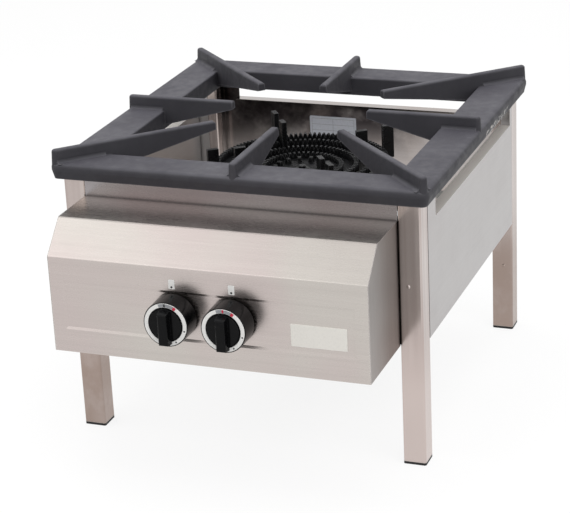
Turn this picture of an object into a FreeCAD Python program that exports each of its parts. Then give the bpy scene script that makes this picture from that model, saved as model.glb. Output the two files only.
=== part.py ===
import FreeCAD, Part
import math
import os
import re
import Sketcher
from FreeCAD import Placement, Rotation, Vector

# Free-standing gas stock pot range: a square tube frame clad in folded sheet, a cast pot grate
# with eight fingers, a two-circuit ring burner and a folded control box with two gas taps.
# Millimetres, +Z up, +Y to the back. The origin is on the floor, in the middle of the footprint.

sizes = {
    # leg frame: the grate's base is the level that everything hangs from
    "frame_side": 560, "grate_base": 413, "leg_side": 35, "leg_wall": 1.5, "leg_corner": 3,
    "foot_height": 4, "foot_plug": 16, "plug_gap": 0.2, "cap_height": 2, "seat_gap": 0.3,
    # pot grate
    "grate_overhang": 15, "bar_width": 65, "bar_height": 24, "bar_wall": 9, "plan_corner": 12,
    "edge_round": 7, "inner_round": 3, "lip_height": 13.5, "lip_inset": 3.5, "rim_drop": 6,
    "finger_rise": 21, "finger_top": 11.5, "finger_root": 15, "finger_inset": 0.2, "side_tip": 112,
    "corner_tip": 146, "tip_depth": 13, "finger_round": 4, "finger_foot": 6,
    "lug_side": 12, "lug_drop": 8, "lug_gap": 1,
    # folded sheet panels
    "sheet": 1.2, "skirt_height": 217.7, "flange": 18, "slot_depth": 40.7, "rear_slot_depth": 33.7,
    "slot_front": 40, "slot_rear": 12, "rear_slot_side": 30, "rail_drop": 25,
    # control box
    "box_height": 194, "box_ledge": 93.8, "box_reach": 139.4, "chamfer_drop": 45.4, "bend": 4,
    "box_flange": 16, "field_low": 36, "field_high": 113, "field_side": 20, "field_depth": 1.6,
    "field_bevel": 4, "vent_pitch": 62, "vent_length": 36, "vent_width": 8,
    # knobs and taps
    "knob_spacing": 88, "knob_shift": -3, "knob_rise": 76.3, "knob_gap": 5, "skirt_depth": 31,
    "knob_radius": 33.8, "skirt_draft": 1, "grip_height": 14, "grip_width": 14, "grip_up": 21,
    "grip_down": 28, "grip_slope": 2, "grip_flare": 1, "grip_round": 2.5, "hub_radius": 25,
    "hub_height": 2.5, "knob_wall": 3, "knob_plate": 5, "boss_radius": 9,
    "dial_radius": 32.3, "dial_width": 5.6, "dial_thick": 0.8,
    "push_travel": 3, "stem_radius": 4, "stem_hole": 8, "running_gap": 0.06, "stem_grip": 16,
    "tap_front": 22, "tap_length": 44, "tap_side": 30, "plug_radius": 9, "plug_taper": 2,
    "plug_length": 24, "plug_cover": 4, "socket_depth": 12, "saddle_wall": 4,
    # gas line
    "rail_radius": 10.5, "rail_bore": 8, "rail_sink": 30, "rail_end": 34, "pipe_clear": 5,
    "inlet_radius": 10.48, "inlet_length": 13.5, "collar_radius": 15, "collar_length": 6,
    "feed_radius": 5, "feed_bore": 3.5, "nut_radius": 11, "nut_length": 8,
    "jet_radius": 7, "jet_length": 16, "jet_bore": 1.4, "jet_stand": 22, "jet_flange": 2,
    # mixing tubes
    "tube_radius": 14.5, "tube_wall": 2.5, "throat_radius": 11, "mouth_radius": 20, "mouth_gap": 12,
    "mouth_length": 26, "shutter_wall": 1.5, "shutter_gap": 0.3, "shutter_length": 20,
    "window_count": 4, "window_width": 14, "window_length": 10,
    # burner
    "burner_rise": 34, "bearer_width": 30, "bearer_thick": 3, "bearer_spread": 70,
    "bearer_ear": 28, "burner_foot": 16, "trough_height": 34, "trough_wall": 4,
    "crown_radius": 138, "crown_height": 16.5, "crown_pitch": 24, "crown_step": 3, "crown_wall": 7,
    "tooth_height": 7, "port_width": 5, "deck_thick": 4,
    "arm_width": 26, "arm_turn": 37, "upright_width": 18, "upright_thick": 8, "upright_rise": 37,
    "upright_out": 7, "upright_in": 6,
    # pilot
    "pilot_radius": 5, "pilot_height": 62, "pilot_stand": 14, "probe_radius": 3, "pilot_seat": 25,
    # how far a cutting tool runs past the wall it cuts
    "past": 1,
}

teeth = (110, 90, 71, 52)         # ports round each crown, from the outside in

doc = FreeCAD.newDocument("stock_pot_range")
sheet = doc.addObject("Spreadsheet::Sheet", "Sizes")
for row, (alias, value) in enumerate(sizes.items(), start=1):
    sheet.set(f"A{row}", alias)
    sheet.set(f"B{row}", str(value))
    sheet.setAlias(f"B{row}", alias)
doc.recompute()

pieces = []

# Levels and stations that several pieces share, worked out from the sizes.
stations = {
    "grate_span": "frame_side + 2*grate_overhang",
    "front_face": "-frame_side/2",
    "box_face": "-frame_side/2 - box_reach",
    "inner": "frame_side/2 - leg_side",
    "leg_top": "grate_base - seat_gap - cap_height",
    "skirt_level": "leg_top - skirt_height",
    "slot_level": "leg_top - slot_depth",
    "rear_slot_level": "leg_top - rear_slot_depth",
    "box_top": "leg_top - rail_drop",
    "box_level": "box_top - box_height",
    "knob_level": "box_level + knob_rise",
    "knob_back": "box_face - knob_gap",
    "dial_face": "knob_back - skirt_depth",
    "tap_face": "box_face + tap_front",
    "tap_back": "tap_face + tap_length",
    "rail_y": "tap_face + tap_length/2",
    "rail_z": "knob_level - rail_sink",
    "pipe_x": "-inner + collar_radius + pipe_clear",
    "jet_y": "front_face + jet_stand",
    "mouth_y": "jet_y + jet_length + mouth_gap",
    "bearer_level": "knob_level + burner_rise",
    "trough_floor": "bearer_level + burner_foot",
    "trough_top": "trough_floor + trough_height",
    "crown_top": "trough_top + crown_height",
    "cup_radius": "crown_radius - 2*crown_pitch",
    "cup_top": "trough_top - 2*crown_step",
    "outer_inside": "crown_radius - crown_pitch - crown_wall",
    "outer_inlet": "crown_radius - (crown_pitch + crown_wall)/2",
    "centre_shift": "-(dial_face - grip_height + grate_span/2)/2",
}


def spelled(text):
    """Write an expression with its stations worked out and the sheet's name in front of each size."""
    def word(found):
        name = found[0]
        if name in stations:
            return f"({spelled(stations[name])})"
        return f"Sizes.{name}" if name in sizes else name
    return re.sub(r"[a-z][a-z_0-9]*", word, text)


def bind(thing, **links):
    for name, text in links.items():
        thing.setExpression(name, spelled(str(text)))


def place(thing, at, key="Placement"):
    for axis, text in zip("xyz", at):
        thing.setExpression(f"{key}.Base.{axis}", spelled(str(text)))


def turned(axis, angle):
    return Rotation(Vector(*axis), angle)


along_x = turned((0, 1, 0), 90)
along_y = turned((1, 0, 0), -90)


def new_body(name):
    return doc.addObject("PartDesign::Body", name)


def origin_plane(body, role):
    return next(item for item in body.Origin.OriginFeatures if item.Role == role)


def solid(body, kind, at=("0", "0", "0"), turn=None, cut=False, **links):
    """Add or cut a primitive whose lengths and place follow the sizes."""
    family = "Subtractive" if cut else "Additive"
    feature = body.newObject(f"PartDesign::{family}{kind}", f"{body.Name}_{kind}")
    if turn:
        feature.Placement = Placement(Vector(), turn)
    bind(feature, **links)
    place(feature, at)
    body.Tip = feature
    return feature


def new_sketch(body, role, offset, spin):
    sketch = body.newObject("Sketcher::SketchObject", f"{body.Name}_outline")
    sketch.AttachmentSupport = [(origin_plane(body, role), "")]
    sketch.MapMode = "FlatFace"
    if spin:
        sketch.AttachmentOffset = Placement(Vector(), spin)
    place(sketch, offset if isinstance(offset, tuple) else ("0", "0", offset), "AttachmentOffset")
    return sketch


def fix_point(sketch, geometry, point, across, up, at):
    """Tie one point of a sketch's geometry to a pair of size expressions."""
    for kind, text, value in (("DistanceX", across, at.x), ("DistanceY", up, at.y)):
        index = sketch.addConstraint(Sketcher.Constraint(kind, -1, 1, geometry, point, value))
        sketch.setExpression(f"Constraints[{index}]", spelled(str(text)))


def circles(body, role, centres, radius, offset, spin=None):
    """Equal circles; each centre is a pair of size expressions."""
    sketch = new_sketch(body, role, offset, spin)
    for i, (across, up) in enumerate(centres):
        at = Vector(40 * (1 - 2 * i), 90, 0)
        sketch.addGeometry(Part.Circle(at, Vector(0, 0, 1), 10), False)
        fix_point(sketch, i, 3, across, up, at)
        index = sketch.addConstraint(Sketcher.Constraint("Radius", i, 10))
        sketch.setExpression(f"Constraints[{index}]", spelled(radius))
    return sketch


def outline(body, role, corners, offset="0", spin=None):
    """A closed outline of straight lines; each corner is a pair of size expressions."""
    sketch = new_sketch(body, role, offset, spin)
    count = len(corners)
    start = [Vector(90 * math.cos(2 * math.pi * i / count), 90 * math.sin(2 * math.pi * i / count), 0)
             for i in range(count)]
    for i in range(count):
        sketch.addGeometry(Part.LineSegment(start[i], start[(i + 1) % count]), False)
    for i in range(count):
        sketch.addConstraint(Sketcher.Constraint("Coincident", i, 2, (i + 1) % count, 1))
    for i, (across, up) in enumerate(corners):
        fix_point(sketch, i, 1, across, up, start[i])
    return sketch


def pad(body, sketch, length, middle=False, back=False, cut=False):
    feature = body.newObject("PartDesign::Pocket" if cut else "PartDesign::Pad", f"{body.Name}_run")
    feature.Profile = sketch
    feature.Midplane = middle
    feature.Reversed = back
    bind(feature, Length=length)
    body.Tip = feature
    return feature


def edges_where(feature, test):
    box = feature.Shape.BoundBox
    return [f"Edge{i}" for i, edge in enumerate(feature.Shape.Edges, start=1) if test(edge, box)]


def faces_where(feature, test):
    box = feature.Shape.BoundBox
    return [f"Face{i}" for i, face in enumerate(feature.Shape.Faces, start=1) if test(face, box)]


def rounded(body, radius, test):
    """Round the edges that the test picks, given each edge and the box round the whole shape."""
    doc.recompute()
    base = body.Tip
    feature = body.newObject("PartDesign::Fillet", f"{body.Name}_round")
    feature.Base = (base, edges_where(base, test))
    bind(feature, Radius=radius)
    body.Tip = feature
    return feature


def repeated(body, features, count):
    """Repeat features evenly round the body's vertical axis."""
    pattern = body.newObject("PartDesign::PolarPattern", f"{body.Name}_ring")
    pattern.Originals = features
    pattern.Axis = (next(item for item in body.Origin.OriginFeatures if item.Role == "Z_Axis"), [""])
    pattern.Angle = 360
    pattern.Occurrences = count
    body.Tip = pattern
    return pattern


def keep(thing, label, at=("0", "0", "0")):
    """Name a finished piece and shift it so that the footprint is centred on the origin."""
    thing.Label = label
    place(thing, (at[0], f"{at[1]} + centre_shift", at[2]))
    pieces.append(thing)
    return thing


def same(one, other):
    return abs(one - other) < 0.01


def upright_edge(edge, box):
    ends = [vertex.Point for vertex in edge.Vertexes]
    return len(ends) == 2 and same(ends[0].x, ends[1].x) and same(ends[0].y, ends[1].y)


def top_edge(edge, box):
    return all(same(vertex.Z, box.ZMax) for vertex in edge.Vertexes)


def bottom_edge(edge, box):
    return all(same(vertex.Z, box.ZMin) for vertex in edge.Vertexes)


def inner_top_edge(edge, box):
    """An edge of the top that stays clear of the outline's own border."""
    reach = 0.9*box.XMax
    return top_edge(edge, box) and all(max(abs(v.X), abs(v.Y)) < reach for v in edge.Vertexes)


def front_edge(edge, box):
    return all(same(vertex.Y, box.YMin) for vertex in edge.Vertexes)


def square_tube(label, at):
    body = new_body(label)
    length = "leg_top - foot_height"
    solid(body, "Box", ("-leg_side/2", "-leg_side/2", "0"), Length="leg_side", Width="leg_side",
          Height=length)
    rounded(body, "leg_corner", upright_edge)
    solid(body, "Box", ("leg_wall - leg_side/2", "leg_wall - leg_side/2", "-past"), cut=True,
          Length="leg_side - 2*leg_wall", Width="leg_side - 2*leg_wall", Height=f"{length} + 2*past")
    keep(body, label, (at[0], at[1], "foot_height"))


def foot_cap(label, at):
    body = new_body(label)
    solid(body, "Box", ("-leg_side/2", "-leg_side/2", "0"), Length="leg_side", Width="leg_side",
          Height="foot_height")
    rounded(body, "leg_corner", upright_edge)
    inside = "(leg_side - 2*leg_wall - 2*plug_gap)"
    solid(body, "Box", (f"-{inside}/2", f"-{inside}/2", "foot_height"), Length=inside, Width=inside,
          Height="foot_plug")
    keep(body, label, (at[0], at[1], "0"))


def leg_cap(label, at):
    body = new_body(label)
    solid(body, "Box", ("-leg_side/2", "-leg_side/2", "0"), Length="leg_side", Width="leg_side",
          Height="cap_height")
    rounded(body, "leg_corner", upright_edge)
    keep(body, label, (at[0], at[1], "leg_top"))


def leg_frame():
    for end, y_sign in (("front", "-"), ("rear", "")):
        for side, x_sign in (("left", "-"), ("right", "")):
            at = (f"{x_sign}(frame_side/2 - leg_side/2)", f"{y_sign}(frame_side/2 - leg_side/2)")
            square_tube(f"leg_{end}_{side}", at)
            foot_cap(f"foot_cap_{end}_{side}", at)
            leg_cap(f"leg_cap_{end}_{side}", at)


def side_panel(side, label):
    """A sheet between two legs, flush outside, with a long slot cut in from its top edge."""
    body = new_body(label)
    low, high = "-inner", "inner"
    corners = [(low, "skirt_level"), (high, "skirt_level"), (high, "leg_top"),
               (f"{high} - slot_rear", "leg_top"), (f"{high} - slot_rear", "slot_level"),
               (f"{low} + slot_front", "slot_level"),
               (f"{low} + slot_front", "leg_top"), (low, "leg_top")]
    outer = "frame_side/2 - sheet" if side > 0 else "-frame_side/2"
    pad(body, outline(body, "YZ_Plane", corners, outer), "sheet")
    near = "frame_side/2 - flange" if side > 0 else "-frame_side/2"
    solid(body, "Box", (near, low, "skirt_level"), Length="flange", Width="frame_side - 2*leg_side",
          Height="sheet")
    solid(body, "Box", (near, f"{low} + slot_front", "slot_level - sheet"), Length="flange",
          Width="frame_side - 2*leg_side - slot_front - slot_rear", Height="sheet")
    for y in (low, f"{high} - sheet"):
        solid(body, "Box", (near, y, "skirt_level"), Length="flange", Width="sheet",
              Height="leg_top - skirt_level")
    keep(body, label)


def cross_panel(label):
    """The rear sheet between the back legs, slotted along its top and holed for the gas inlet."""
    body = new_body(label)
    low, high = "-inner", "inner"
    corners = [(low, "skirt_level"), (high, "skirt_level"), (high, "leg_top"),
               (f"{high} - rear_slot_side", "leg_top"), (f"{high} - rear_slot_side", "rear_slot_level"),
               (f"{low} + rear_slot_side", "rear_slot_level"), (f"{low} + rear_slot_side", "leg_top"),
               (low, "leg_top")]
    pad(body, outline(body, "XZ_Plane", corners, "-frame_side/2"), "sheet")
    solid(body, "Box", (low, "frame_side/2 - flange", "skirt_level"), Length="2*inner",
          Width="flange", Height="sheet")
    solid(body, "Box", (f"{low} + rear_slot_side", "frame_side/2 - flange", "rear_slot_level - sheet"),
          Length="2*inner - 2*rear_slot_side", Width="flange", Height="sheet")
    for x in (low, f"{high} - sheet"):
        solid(body, "Box", (x, "frame_side/2 - flange", "skirt_level"), Length="sheet", Width="flange",
              Height="leg_top - skirt_level")
    solid(body, "Cylinder", ("pipe_x", "frame_side/2 - 2*sheet", "rail_z"), along_y, cut=True,
          Radius="rail_radius + seat_gap", Height="4*sheet")
    keep(body, label)


def front_panel(label):
    """The inner front sheet that shuts the burner space off from the taps."""
    body = new_body(label)
    solid(body, "Box", ("-inner", "front_face", "skirt_level"), Length="2*inner", Width="sheet",
          Height="box_top - skirt_level")
    solid(body, "Box", ("-inner", "front_face", "skirt_level"), Length="2*inner", Width="flange",
          Height="sheet")
    for x in ("-inner", "inner - sheet"):
        solid(body, "Box", (x, "front_face", "skirt_level"), Length="sheet", Width="flange",
              Height="box_top - skirt_level")
    for sign in ("-", "+"):
        solid(body, "Cylinder", (tap_x(sign), "front_face - sheet", "knob_level"), along_y, cut=True,
              Radius="feed_radius + seat_gap", Height="4*sheet")
    solid(body, "Cylinder", ("pipe_x", "front_face - sheet", "rail_z"), along_y, cut=True,
          Radius="rail_radius + seat_gap", Height="4*sheet")
    keep(body, label)


def front_rail(label):
    """The folded channel that ties the front legs together above the control box."""
    body = new_body(label)
    solid(body, "Box", ("-inner", "front_face", "box_top"), Length="2*inner", Width="sheet",
          Height="rail_drop")
    for level in ("box_top", "leg_top - sheet"):
        solid(body, "Box", ("-inner", "front_face", level), Length="2*inner", Width="flange",
              Height="sheet")
    keep(body, label)


def box_section():
    return [("front_face", "box_top"), ("front_face - box_ledge", "box_top"),
            ("box_face", "box_top - chamfer_drop"), ("box_face", "box_level"), ("front_face", "box_level")]


def across_box(edge, box):
    """The folds along the box's front: long edges ahead of the legs and above its open bottom."""
    ends = [vertex.Point for vertex in edge.Vertexes]
    along = len(ends) == 2 and same(ends[0].y, ends[1].y) and same(ends[0].z, ends[1].z)
    return along and not same(ends[0].y, box.YMax) and not same(ends[0].z, box.ZMin)


def control_box(label):
    """Top, chamfer and front folded from one sheet, with a pressed field round the knobs."""
    body = new_body(label)
    width = "(2*inner - 2*sheet)"
    pad(body, outline(body, "YZ_Plane", box_section()), width, middle=True)
    rounded(body, "bend", across_box)
    doc.recompute()
    base = body.Tip

    def opened(face, box):
        centre = face.CenterOfMass
        ends = same(centre.x, box.XMin) or same(centre.x, box.XMax)
        return ends or same(centre.y, box.YMax) or same(centre.z, box.ZMin)

    shell = body.newObject("PartDesign::Thickness", f"{label}_sheet")
    shell.Base = (base, faces_where(base, opened))
    shell.Reversed = True
    bind(shell, Value="sheet")
    body.Tip = shell
    for low, high, level in (("sheet", "sheet + field_depth", False), ("0", "field_depth", True)):
        feature = body.newObject(
            "PartDesign::SubtractiveWedge" if level else "PartDesign::AdditiveWedge", f"{label}_field")
        bind(feature, Ymin=f"box_face + {low}", Ymax=f"box_face + {high}",
             Xmin="field_side - inner", Xmax="inner - field_side",
             Zmin="box_level + field_low", Zmax="box_level + field_high",
             X2min="field_side - inner + field_bevel", X2max="inner - field_side - field_bevel",
             Z2min="box_level + field_low + field_bevel", Z2max="box_level + field_high - field_bevel")
        body.Tip = feature
    solid(body, "Box", (f"-{width}/2", "box_face", "box_level"), Length=width, Width="box_flange",
          Height="sheet")
    for sign in ("-", "+"):
        solid(body, "Cylinder", (tap_x(sign), "box_face - past", "knob_level"), along_y, cut=True,
              Radius="stem_hole", Height="field_depth + 4*sheet")
    keep(body, label)


def box_cheek(side, label):
    body = new_body(label)
    outer = "inner - sheet" if side > 0 else "-inner"
    pad(body, outline(body, "YZ_Plane", box_section(), outer), "sheet")
    rounded(body, "bend", across_box)
    keep(body, label)


def box_floor(label):
    """The bottom sheet of the control box, slotted for air."""
    body = new_body(label)
    width = "(2*inner - 2*sheet - 2*seat_gap)"
    solid(body, "Box", (f"-{width}/2", "box_face + 2*sheet", "box_level + sheet"), Length=width,
          Width="box_reach - 3*sheet", Height="sheet")
    for step in range(-3, 4):
        solid(body, "Box", (f"{step}*vent_pitch - vent_length/2", "box_face + box_reach/2", "box_level"),
              cut=True, Length="vent_length", Width="vent_width", Height="4*sheet")
    keep(body, label)


def pot_grate(label):
    """One square casting: hollow bars, solid corners on the legs, and eight drafted fingers."""
    body = new_body(label)
    solid(body, "Box", ("-grate_span/2", "-grate_span/2", "grate_base"), Length="grate_span",
          Width="grate_span", Height="bar_height")
    rounded(body, "plan_corner", upright_edge)
    doc.recompute()
    base = body.Tip
    lip = body.newObject("PartDesign::Chamfer", f"{label}_lip")
    lip.Base = (base, edges_where(base, bottom_edge))
    lip.ChamferType = "Two distances"
    bind(lip, Size="lip_height", Size2="lip_inset")
    body.Tip = lip
    rounded(body, "edge_round", top_edge)
    opening = "(grate_span - 2*bar_width)"
    rim = f"({opening} + 2*bar_wall)"
    solid(body, "Box", (f"-{rim}/2", f"-{rim}/2", "grate_base - rim_drop"), Length=rim, Width=rim,
          Height="rim_drop + past")
    solid(body, "Box", (f"-{opening}/2", f"-{opening}/2", "grate_base - rim_drop - past"), cut=True,
          Length=opening, Width=opening, Height="bar_height + rim_drop + 2*past")
    rounded(body, "inner_round", inner_top_edge)
    hollow = "(bar_width - 2*bar_wall)"
    for low, high, wide, deep in (
            (f"-{opening}/2", f"{rim}/2", opening, hollow),
            (f"-{opening}/2", f"-{rim}/2 - {hollow}", opening, hollow),
            (f"{rim}/2", f"-{opening}/2", hollow, opening),
            (f"-{rim}/2 - {hollow}", f"-{opening}/2", hollow, opening)):
        solid(body, "Box", (low, high, "grate_base - past"), cut=True, Length=wide, Width=deep,
              Height="bar_height - bar_wall + past")
    corner_end = f"((grate_span/2 - plan_corner)*{math.sqrt(2)} + plan_corner)"
    finger_set(body, "side_tip", "(grate_span/2)", f"({opening}/2)", 0)
    finger_set(body, "corner_tip", corner_end, f"({opening}/2*{math.sqrt(2)})", 45)
    rounded(body, "finger_round", top_edge)
    lug = "(inner - lug_gap - lug_side)"
    for x in (lug, f"-{lug} - lug_side"):
        for y in (lug, f"-{lug} - lug_side"):
            solid(body, "Box", (x, y, "grate_base - lug_drop"), Length="lug_side", Width="lug_side",
                  Height="lug_drop + bar_height/2")
    keep(body, label)


def finger_set(body, tip, edge, root, angle):
    """Four drafted fingers from the bars' outer edge to the tips, with a round nose and a wide foot."""
    high = "(grate_base + bar_height + finger_rise)"
    lip_level = "(grate_base + lip_height)"
    draft = "((finger_root - finger_top)/(bar_height + finger_rise - lip_height))"
    nose = f"({edge} - finger_inset - finger_root/2)"
    lean = turned((0, 1, 0), angle)
    sine, cosine = math.sin(math.radians(angle)), math.cos(math.radians(angle))
    low_width = f"(finger_root + {draft}*lip_height)"
    section = [("finger_top/2", high), ("-finger_top/2", high),
               (f"-{low_width}/2", "grate_base"), (f"{low_width}/2", "grate_base")]
    end = solid(body, "Cone", (f"{nose}*{cosine}", f"{nose}*{sine}", lip_level), Radius1="finger_root/2",
                Radius2="finger_top/2", Height=f"{high} - {lip_level}")
    repeated(body, [end], 4)
    offset = (f"{tip}*{sine}", "0", f"{tip}*{cosine}")
    rib = pad(body, outline(body, "YZ_Plane", section, offset, lean), f"{nose} - {tip}")
    bar_top = "(grate_base + bar_height)"
    half = f"((finger_top + {draft}*(finger_rise - finger_foot))/2 - seat_gap/2)"
    toe = f"({half} + finger_foot)"
    start, stop = f"({root} + inner_round)", f"({edge} - edge_round)"
    foot = [(toe, f"{bar_top} - past"), (toe, f"{bar_top} + finger_foot"),
            (f"-{toe}", f"{bar_top} + finger_foot"), (f"-{toe}", f"{bar_top} - past")]
    offset = (f"{start}*{sine}", "0", f"{start}*{cosine}")
    block = pad(body, outline(body, "YZ_Plane", foot, offset, lean), f"{stop} - {start}")
    centres = [(toe, f"{bar_top} + finger_foot"), (f"-{toe}", f"{bar_top} + finger_foot")]
    offset = (f"({start} - past)*{sine}", "0", f"({start} - past)*{cosine}")
    curve = pad(body, circles(body, "YZ_Plane", centres, "finger_foot", offset, lean),
                f"{stop} - {start} + 2*past", cut=True, back=True)
    belly = [(f"{tip} - past", "grate_base - past"), (root, "grate_base - past"), (root, "grate_base"),
             (tip, f"{high} - tip_depth"), (f"{tip} - past", f"{high} - tip_depth")]
    under = pad(body, outline(body, "XZ_Plane", belly, "0", lean), f"{low_width} + past", middle=True,
                cut=True)
    repeated(body, [rib, block, curve, under], 4)


def revolved(body, corners, axis="Z_Axis", role="XZ_Plane", cut=False):
    """Turn a closed section about one of the body's own axes."""
    feature_sketch = outline(body, role, corners)
    feature = body.newObject("PartDesign::Groove" if cut else "PartDesign::Revolution", f"{body.Name}_turn")
    feature.Profile = feature_sketch
    feature.ReferenceAxis = (next(item for item in body.Origin.OriginFeatures if item.Role == axis), [""])
    feature.Angle = 360
    body.Tip = feature
    return feature


def bearer(sign, label):
    """A flat bar across the frame with its ends turned down against the side panels."""
    body = new_body(label)
    reach = "(frame_side/2 - sheet)"
    low = "(bearer_level - bearer_thick)"
    y = f"{sign}bearer_spread - bearer_width/2"
    solid(body, "Box", (f"-{reach}", y, low), Length=f"2*{reach}", Width="bearer_width",
          Height="bearer_thick")
    for x in (f"-{reach}", f"{reach} - bearer_thick"):
        solid(body, "Box", (x, y, "bearer_level - bearer_ear"), Length="bearer_thick",
              Width="bearer_width", Height="bearer_ear")
    keep(body, label)


def tap_x(sign):
    return f"(knob_shift {sign} knob_spacing/2)"


def outer_inlet_y():
    """Where the left mixing tube meets the middle of the outer trough."""
    return f"(-sqrt(outer_inlet*outer_inlet - {tap_x('-')}*{tap_x('-')}))"


def burner_body(label):
    """The casting that carries both heads: a round cup, four webs and a ring trough on feet."""
    body = new_body(label)
    floor, top, wall = "trough_floor", "trough_top", "trough_wall"
    revolved(body, [("0", floor), ("cup_radius", floor), ("cup_radius", "cup_top"),
                    (f"cup_radius - {wall}", "cup_top"), (f"cup_radius - {wall}", f"{floor} + {wall}"),
                    ("0", f"{floor} + {wall}")])
    web = solid(body, "Box", (f"cup_radius - {wall}/2", "-arm_width/2", floor),
                Length=f"outer_inside - cup_radius + {wall}", Width="arm_width",
                Height="trough_height/2")
    repeated(body, [web], 4)
    revolved(body, [("outer_inside", floor), ("crown_radius", floor), ("crown_radius", top),
                    (f"crown_radius - {wall}", top), (f"crown_radius - {wall}", f"{floor} + {wall}"),
                    (f"outer_inside + {wall}", f"{floor} + {wall}"), (f"outer_inside + {wall}", top),
                    ("outer_inside", top)])
    foot_x = "sqrt(outer_inlet*outer_inlet - bearer_spread*bearer_spread)"
    for x_sign in ("-", ""):
        for y_sign in ("-", ""):
            solid(body, "Cylinder", (f"{x_sign}{foot_x}", f"{y_sign}bearer_spread", "bearer_level"),
                  Radius="bearer_width/3", Height="burner_foot + trough_wall/2")
    for x, y in ((tap_x("-"), outer_inlet_y()), (tap_x("+"), "0")):
        solid(body, "Cylinder", (x, y, f"{floor} - past"), cut=True, Radius="tube_radius - tube_wall",
              Height=f"{wall} + 2*past")
    keep(body, label)


def crown_ring(body, radius, top, count):
    """Cut the vee-shaped flame ports through one upstanding ring of a head."""
    half = "(port_width/2*(1 + past/tooth_height))"
    vee = [(f"-{half}", f"{top} + past"), ("0", f"{top} - tooth_height"), (half, f"{top} + past")]
    sketch = outline(body, "YZ_Plane", vee, f"{radius} - crown_wall - past")
    port = pad(body, sketch, "crown_wall + 2*past", cut=True, back=True)
    repeated(body, [port], count)


def outer_head(label):
    """The outer burner's lid: two toothed rings on one deck, with four pairs of uprights."""
    body = new_body(label)
    deck = "(trough_top + deck_thick)"
    second = "(crown_radius - crown_pitch)"
    second_top = "(crown_top - crown_step)"
    revolved(body, [("outer_inside", "trough_top"), ("crown_radius", "trough_top"),
                    ("crown_radius", "crown_top"), ("crown_radius - crown_wall", "crown_top"),
                    ("crown_radius - crown_wall", deck),
                    (second, deck), (second, second_top), ("outer_inside", second_top)])
    crown_ring(body, "crown_radius", "crown_top", teeth[0])
    crown_ring(body, second, second_top, teeth[1])
    uprights = []
    for centre, drop in (("crown_radius + upright_out", "0"), ("outer_inside - upright_in", "crown_step")):
        uprights.append(solid(body, "Box", (f"{centre} - upright_width/2", "-upright_thick/2", "trough_top"),
                              Length="upright_width", Width="upright_thick",
                              Height=f"crown_top + upright_rise - {drop} - trough_top"))
    repeated(body, uprights, 4)
    body.Placement = Placement(Vector(), turned((0, 0, 1), 1))
    body.setExpression("Placement.Rotation.Angle", spelled("arm_turn"))
    keep(body, label)


def inner_head(label):
    """The inner burner's lid: two lower toothed rings round a plain centre."""
    body = new_body(label)
    deck = "(cup_top + deck_thick)"
    third, fourth = "cup_radius", "(crown_radius - 3*crown_pitch)"
    third_top, fourth_top = "(crown_top - 2*crown_step)", "(crown_top - 3*crown_step)"
    revolved(body, [("0", "cup_top"), (third, "cup_top"), (third, third_top),
                    (f"{third} - crown_wall", third_top), (f"{third} - crown_wall", deck),
                    (fourth, deck), (fourth, fourth_top), (f"{fourth} - crown_wall", fourth_top),
                    (f"{fourth} - crown_wall", deck), ("0", deck)])
    crown_ring(body, third, third_top, teeth[2])
    crown_ring(body, fourth, fourth_top, teeth[3])
    solid(body, "Cone", ("0", "0", deck), Radius1="crown_pitch", Radius2="crown_pitch/2", Height="crown_step")
    keep(body, label)


def mixing_tube(sign, end_y, label):
    """A cage mouth, a throat, a widening run and an elbow up into the burner."""
    body = new_body(label)
    bore = "(tube_radius - tube_wall)"
    bend_start = f"({end_y} - 2*tube_radius)"
    throat = "(mouth_y + mouth_length + tube_radius)"
    wide = f"({throat} + 1.5*tube_radius)"
    revolved(body, [("mouth_y", "mouth_radius"), ("mouth_y + mouth_length", "mouth_radius"),
                    (throat, "throat_radius + tube_wall"), (wide, "tube_radius"), (bend_start, "tube_radius"),
                    (bend_start, bore), (wide, bore), (throat, "throat_radius"),
                    ("mouth_y + mouth_length", "mouth_radius - tube_wall"),
                    ("mouth_y", "mouth_radius - tube_wall")], "Y_Axis", "YZ_Plane")
    centre = ("0", bend_start, "2*tube_radius")
    solid(body, "Torus", centre, along_x, Radius1="2*tube_radius", Radius2="tube_radius", Angle3="90")
    rise = "(trough_floor - knob_level - 2*tube_radius)"
    solid(body, "Cylinder", ("0", end_y, "2*tube_radius"), Radius="tube_radius", Height=rise)
    solid(body, "Torus", centre, along_x, cut=True, Radius1="2*tube_radius", Radius2=bore, Angle3="90")
    solid(body, "Cylinder", ("0", end_y, "2*tube_radius"), cut=True, Radius=bore,
          Height=f"{rise} + past")
    air_windows(body)
    keep(body, label, (tap_x(sign), "0", "knob_level"))


def air_windows(body):
    """The windows round a mixing tube's mouth, which its shutter shares."""
    window = solid(body, "Box", ("-window_width/2", "mouth_y + (shutter_length - window_length)/2", "0"),
                   cut=True, Length="window_width", Width="window_length", Height="2*mouth_radius")
    pattern = body.newObject("PartDesign::PolarPattern", f"{body.Name}_windows")
    pattern.Originals = [window]
    pattern.Axis = (next(item for item in body.Origin.OriginFeatures if item.Role == "Y_Axis"), [""])
    pattern.Angle = 360
    bind(pattern, Occurrences="window_count")
    body.Tip = pattern


def air_shutter(sign, label):
    """The sleeve that turns on a mixing tube's mouth to open or close its windows."""
    body = new_body(label)
    inside = "(mouth_radius + shutter_gap)"
    revolved(body, [("mouth_y", inside), ("mouth_y + shutter_length", inside),
                    ("mouth_y + shutter_length", f"{inside} + shutter_wall"),
                    ("mouth_y", f"{inside} + shutter_wall")], "Y_Axis", "YZ_Plane")
    air_windows(body)
    keep(body, label, (tap_x(sign), "0", "knob_level"))


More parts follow.
